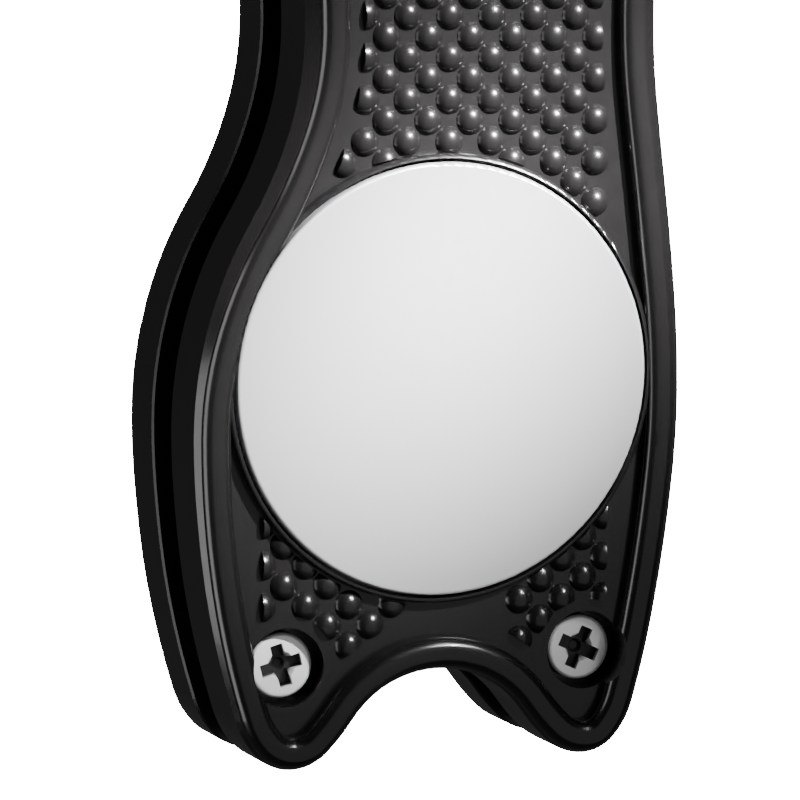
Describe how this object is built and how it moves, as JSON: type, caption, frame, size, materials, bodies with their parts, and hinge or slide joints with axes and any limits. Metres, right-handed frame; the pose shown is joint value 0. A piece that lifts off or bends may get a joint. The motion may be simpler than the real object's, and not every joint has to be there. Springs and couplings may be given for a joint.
{
  "type": "folding divot repair tool",
  "caption": "Folding golf divot tool: flip-out fork between two textured plates, push-button latch, magnetic ball marker, and a notch that props up a club grip.",
  "frame": {"origin": "on the flat back face, under the centre of the ball marker", "axes": "+Z out of the front face, +Y along the handle towards the opened fork, +X to the right seen from the front"},
  "size_m": [0.0296, 0.1164, 0.0129],
  "materials": {
    "black_paint": "semi-gloss black paint on zinc die casting",
    "black_plastic": "black moulded nylon",
    "steel": "turned steel",
    "bright_screw": "bright nickel-plated steel",
    "fork_steel": "tumbled stainless steel",
    "washer_plastic": "natural acetal",
    "spring_steel": "blued spring steel",
    "button_chrome": "polished chrome",
    "magnet": "nickel-plated magnet",
    "marker_metal": "plain satin silver"
  },
  "bodies": {
    "handle": {"front_plate": "black_paint", "back_plate": "black_paint", "spine_spacer": "black_plastic", "lower_posts": "steel", "upper_posts": "steel", "lower_screws": "bright_screw", "upper_screws": "bright_screw", "pivot_bushing": "steel", "front_thrust_washer": "washer_plastic", "back_thrust_washer": "washer_plastic", "flip_spring": "spring_steel", "button_bezel": "button_chrome", "latch_leaf": "spring_steel", "latch_pin": "steel", "leaf_rivet": "steel", "marker_magnet": "magnet"},
    "fork": {"fork": "fork_steel"},
    "button": {"push_button": "button_chrome"},
    "marker": {"ball_marker": "marker_metal"}
  },
  "joints": [
    {"name": "fork_flip", "type": "hinge", "parent": "handle", "child": "fork", "pos_m": [0.0015, 0.041, 0.0058], "axis": [0, 0, 1], "range_deg": [0, 180], "deforming": ["flip_spring", "latch_leaf", "latch_pin"]},
    {"name": "button_press", "type": "slide", "parent": "handle", "child": "button", "axis": [0, 0, -1], "range_m": [0, 0.0008], "stiffness_N_per_m": 400, "deforming": ["latch_leaf", "latch_pin"]},
    {"name": "marker_lift", "type": "slide", "parent": "handle", "child": "marker", "axis": [0, 0, 1], "range_m": [0, 0.008]}
  ]
}
